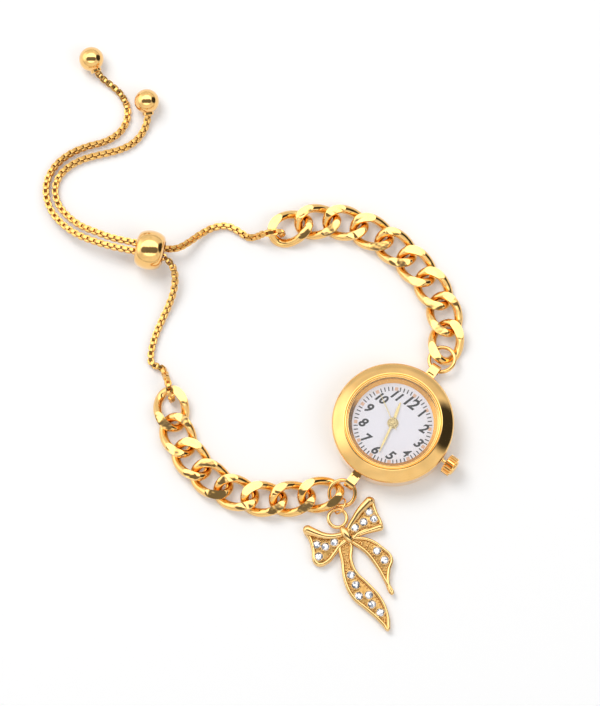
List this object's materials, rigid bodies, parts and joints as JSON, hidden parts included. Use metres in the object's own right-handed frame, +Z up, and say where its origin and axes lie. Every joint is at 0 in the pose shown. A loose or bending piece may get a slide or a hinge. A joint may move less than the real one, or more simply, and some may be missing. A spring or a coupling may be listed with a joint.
{
  "type": "bracelet watch",
  "caption": "Small round analogue wristwatch on a curb link bracelet drawn up by a slider bead on box chain, with a hanging bow charm.",
  "frame": {"origin": "middle of the case back, on the surface that the watch lies on", "axes": "+Z up through the dial, +Y to 12 o'clock, +X to the crown at 3 o'clock"},
  "size_m": [0.1195, 0.0682, 0.008],
  "materials": {
    "gold_plate": "polished gold plate",
    "gold_links": "polished gold plate with ground facets",
    "gold_box_chain": "polished gold plate",
    "steel_back": "satin stainless steel",
    "black_rubber": "matte",
    "mineral_glass": "clear polished",
    "white_dial": "satin white lacquer with printed numerals",
    "steel": "plain turned steel",
    "brass_plate": "plain brass",
    "grey_plastic": "moulded",
    "green_board": "solder mask",
    "copper_wire": "enamelled copper wire",
    "battery_steel": "nickel plated steel",
    "magnet": "sintered magnet with a moulded pinion",
    "gilt_hands": "pale polished gold",
    "clear_stone": "cut clear crystal",
    "brown_liner": "satin silicone"
  },
  "bodies": {
    "watch_head": {"case_body": "gold_plate", "bezel": "gold_plate", "crystal": "mineral_glass", "crystal_gasket": "black_rubber", "dial": "white_dial", "dial_ring": "white_dial", "case_back": "steel_back", "back_gasket": "black_rubber", "movement_holder": "grey_plastic", "main_plate": "brass_plate", "train_bridge": "brass_plate", "circuit_board": "green_board", "coil": "copper_wire", "stator": "steel", "battery": "battery_steel", "battery_strap": "steel", "crown_tube": "steel"},
    "rotor": {"rotor": "magnet"},
    "step_wheel": {"step_wheel": "brass_plate"},
    "third_wheel": {"third_wheel": "brass_plate"},
    "seconds": {"seconds_wheel": "brass_plate", "second_hand": "gilt_hands"},
    "minutes": {"centre_wheel": "brass_plate", "minute_hand": "gilt_hands"},
    "motion": {"minute_wheel": "brass_plate"},
    "hours": {"hour_wheel": "brass_plate", "hour_hand": "gilt_hands"},
    "crown_slide": {"crown_gasket": "black_rubber"},
    "crown_turn": {"crown": "gold_plate", "setting_stem": "steel"},
    "ring_upper": {"ring_upper": "gold_plate"},
    "ring_lower": {"ring_lower": "gold_plate"},
    "link_upper_1": {"link_upper_1": "gold_links"},
    "link_upper_2": {"link_upper_2": "gold_links"},
    "link_upper_3": {"link_upper_3": "gold_links"},
    "link_upper_4": {"link_upper_4": "gold_links"},
    "link_upper_5": {"link_upper_5": "gold_links"},
    "link_upper_6": {"link_upper_6": "gold_links"},
    "link_upper_7": {"link_upper_7": "gold_links"},
    "link_upper_8": {"link_upper_8": "gold_links"},
    "link_upper_9": {"link_upper_9": "gold_links"},
    "link_lower_1": {"link_lower_1": "gold_links"},
    "link_lower_2": {"link_lower_2": "gold_links"},
    "link_lower_3": {"link_lower_3": "gold_links"},
    "link_lower_4": {"link_lower_4": "gold_links"},
    "link_lower_5": {"link_lower_5": "gold_links"},
    "link_lower_6": {"link_lower_6": "gold_links"},
    "link_lower_7": {"link_lower_7": "gold_links"},
    "link_lower_8": {"link_lower_8": "gold_links"},
    "closure": {"chain_long": "gold_box_chain", "chain_tail": "gold_box_chain", "ball_long": "gold_plate", "ball_tail": "gold_plate"},
    "slider": {"slider_bead": "gold_plate", "slider_liner": "brown_liner"},
    "strand": {"chain_short": "gold_box_chain"},
    "charm_ring": {"charm_ring": "gold_plate"},
    "charm": {"bow_charm": "gold_plate", "charm_stones": "clear_stone"}
  },
  "joints": [
    {"name": "minute_turn", "type": "hinge", "parent": "watch_head", "child": "minutes", "pos_m": [0, 0, 0.0033], "axis": [0, 0, -1], "continuous": true},
    {"name": "seconds_turn", "type": "hinge", "parent": "watch_head", "child": "seconds", "pos_m": [0, 0, 0.0033], "axis": [0, 0, -1], "continuous": true},
    {"name": "third_turn", "type": "hinge", "parent": "watch_head", "child": "third_wheel", "pos_m": [0.00119, 0.00206, 0.0033], "axis": [0, 0, -1], "continuous": true},
    {"name": "step_turn", "type": "hinge", "parent": "watch_head", "child": "step_wheel", "pos_m": [0.0009, -0.00156, 0.0033], "axis": [0, 0, -1], "continuous": true},
    {"name": "rotor_turn", "type": "hinge", "parent": "watch_head", "child": "rotor", "pos_m": [0.00203, -0.0025, 0.0033], "axis": [0, 0, -1], "continuous": true},
    {"name": "motion_turn", "type": "hinge", "parent": "watch_head", "child": "motion", "pos_m": [-0.0018, 0.00066, 0.0033], "axis": [0, 0, -1], "continuous": true},
    {"name": "hour_turn", "type": "hinge", "parent": "watch_head", "child": "hours", "pos_m": [0, 0, 0.0033], "axis": [0, 0, -1], "continuous": true},
    {"name": "crown_pull", "type": "slide", "parent": "watch_head", "child": "crown_slide", "axis": [1, 0, 0], "range_m": [0, 0.001]},
    {"name": "crown_spin", "type": "hinge", "parent": "crown_slide", "child": "crown_turn", "pos_m": [0.0131, 0, 0.0033], "axis": [1, 0, 0], "continuous": true},
    {"name": "ring_upper_swing", "type": "hinge", "parent": "watch_head", "child": "ring_upper", "pos_m": [0, 0.0143, 0.0016], "axis": [1, 0, 0], "range_deg": [-5, 45]},
    {"name": "ring_lower_swing", "type": "hinge", "parent": "watch_head", "child": "ring_lower", "pos_m": [0, -0.0143, 0.00174], "axis": [1, 0, 0], "range_deg": [-45, 5]},
    {"name": "link_upper_1_fold", "type": "hinge", "parent": "ring_upper", "child": "link_upper_1", "pos_m": [-0.00023, 0.01792, 0.00025], "axis": [0.8829, 0.4695, 0], "range_deg": [-8, 10]},
    {"name": "link_upper_2_fold", "type": "hinge", "parent": "link_upper_1", "child": "link_upper_2", "pos_m": [-0.00284, 0.02282, 0.00145], "axis": [0.7771, 0.6293, 0], "range_deg": [-8, 12]},
    {"name": "link_upper_3_fold", "type": "hinge", "parent": "link_upper_2", "child": "link_upper_3", "pos_m": [-0.0072, 0.02648, 0.00145], "axis": [0.515, 0.8572, 0], "range_deg": [-8, 12]},
    {"name": "link_upper_4_fold", "type": "hinge", "parent": "link_upper_3", "child": "link_upper_4", "pos_m": [-0.01249, 0.02862, 0.00145], "axis": [0.2924, 0.9563, 0], "range_deg": [-8, 12]},
    {"name": "link_upper_5_fold", "type": "hinge", "parent": "link_upper_4", "child": "link_upper_5", "pos_m": [-0.01806, 0.0298, 0.00145], "axis": [0.1305, 0.9914, 0], "range_deg": [-8, 12]},
    {"name": "link_upper_6_fold", "type": "hinge", "parent": "link_upper_5", "child": "link_upper_6", "pos_m": [-0.02376, 0.0301, 0.00145], "axis": [-0.0436, 0.999, 0], "range_deg": [-8, 12]},
    {"name": "link_upper_7_fold", "type": "hinge", "parent": "link_upper_6", "child": "link_upper_7", "pos_m": [-0.0294, 0.02931, 0.00145], "axis": [-0.2672, 0.9636, 0], "range_deg": [-8, 12]},
    {"name": "link_upper_8_fold", "type": "hinge", "parent": "link_upper_7", "child": "link_upper_8", "pos_m": [-0.03465, 0.02708, 0.00145], "axis": [-0.5299, 0.848, 0], "range_deg": [-8, 12]},
    {"name": "link_upper_9_fold", "type": "hinge", "parent": "link_upper_8", "child": "link_upper_9", "pos_m": [-0.03895, 0.02334, 0.00145], "axis": [-0.7604, 0.6494, 0], "range_deg": [-8, 12]},
    {"name": "link_lower_1_fold", "type": "hinge", "parent": "ring_lower", "child": "link_lower_1", "pos_m": [-0.0016, -0.01739, 0.00065], "axis": [0.7431, -0.6691, 0], "range_deg": [-3, 6]},
    {"name": "link_lower_2_fold", "type": "hinge", "parent": "link_lower_1", "child": "link_lower_2", "pos_m": [-0.00545, -0.02167, 0.00145], "axis": [0.7071, -0.7071, 0], "range_deg": [-12, 8]},
    {"name": "link_lower_3_fold", "type": "hinge", "parent": "link_lower_2", "child": "link_lower_3", "pos_m": [-0.00968, -0.02548, 0.00145], "axis": [0.6018, -0.7986, 0], "range_deg": [-12, 8]},
    {"name": "link_lower_4_fold", "type": "hinge", "parent": "link_lower_3", "child": "link_lower_4", "pos_m": [-0.01452, -0.0285, 0.00145], "axis": [0.4067, -0.9135, 0], "range_deg": [-12, 8]},
    {"name": "link_lower_5_fold", "type": "hinge", "parent": "link_lower_4", "child": "link_lower_5", "pos_m": [-0.02, -0.03007, 0.00145], "axis": [0.1219, -0.9925, 0], "range_deg": [-12, 8]},
    {"name": "link_lower_6_fold", "type": "hinge", "parent": "link_lower_5", "child": "link_lower_6", "pos_m": [-0.02569, -0.02987, 0.00145], "axis": [-0.165, -0.9863, 0], "range_deg": [-12, 8]},
    {"name": "link_lower_7_fold", "type": "hinge", "parent": "link_lower_6", "child": "link_lower_7", "pos_m": [-0.03114, -0.02821, 0.00145], "axis": [-0.4147, -0.91, 0], "range_deg": [-12, 8]},
    {"name": "link_lower_8_fold", "type": "hinge", "parent": "link_lower_7", "child": "link_lower_8", "pos_m": [-0.03598, -0.02519, 0.00145], "axis": [-0.6428, -0.766, 0], "range_deg": [-12, 8]},
    {"name": "closure_fold", "type": "hinge", "parent": "link_upper_9", "child": "closure", "pos_m": [-0.04253, 0.01761, 0.00145], "axis": [-0.6691, 0.7431, 0], "range_deg": [-10, 10]},
    {"name": "strand_fold", "type": "hinge", "parent": "link_lower_8", "child": "strand", "pos_m": [-0.04049, -0.02017, 0.00145], "axis": [-0.6293, -0.7771, 0], "range_deg": [-10, 10]},
    {"name": "slider_travel", "type": "slide", "parent": "closure", "child": "slider", "axis": [-0.9135, -0.4067, 0], "range_m": [0, 0.003]},
    {"name": "charm_ring_swing", "type": "hinge", "parent": "ring_lower", "child": "charm_ring", "pos_m": [0.00063, -0.01922, 0.00091], "axis": [-0.9321, -0.3543, 0.0752], "range_deg": [-4, 8]},
    {"name": "charm_swing", "type": "hinge", "parent": "charm_ring", "child": "charm", "pos_m": [0.00122, -0.02087, 0.00127], "axis": [-0.4898, -0.8718, 0], "range_deg": [0, 8]}
  ],
  "couplings": [
    {"joint": "seconds_turn", "follows": "minute_turn", "ratio": 60},
    {"joint": "third_turn", "follows": "minute_turn", "ratio": -8},
    {"joint": "step_turn", "follows": "minute_turn", "ratio": -300},
    {"joint": "rotor_turn", "follows": "minute_turn", "ratio": 1800},
    {"joint": "motion_turn", "follows": "minute_turn", "ratio": -0.33333},
    {"joint": "hour_turn", "follows": "minute_turn", "ratio": 0.083333}
  ]
}
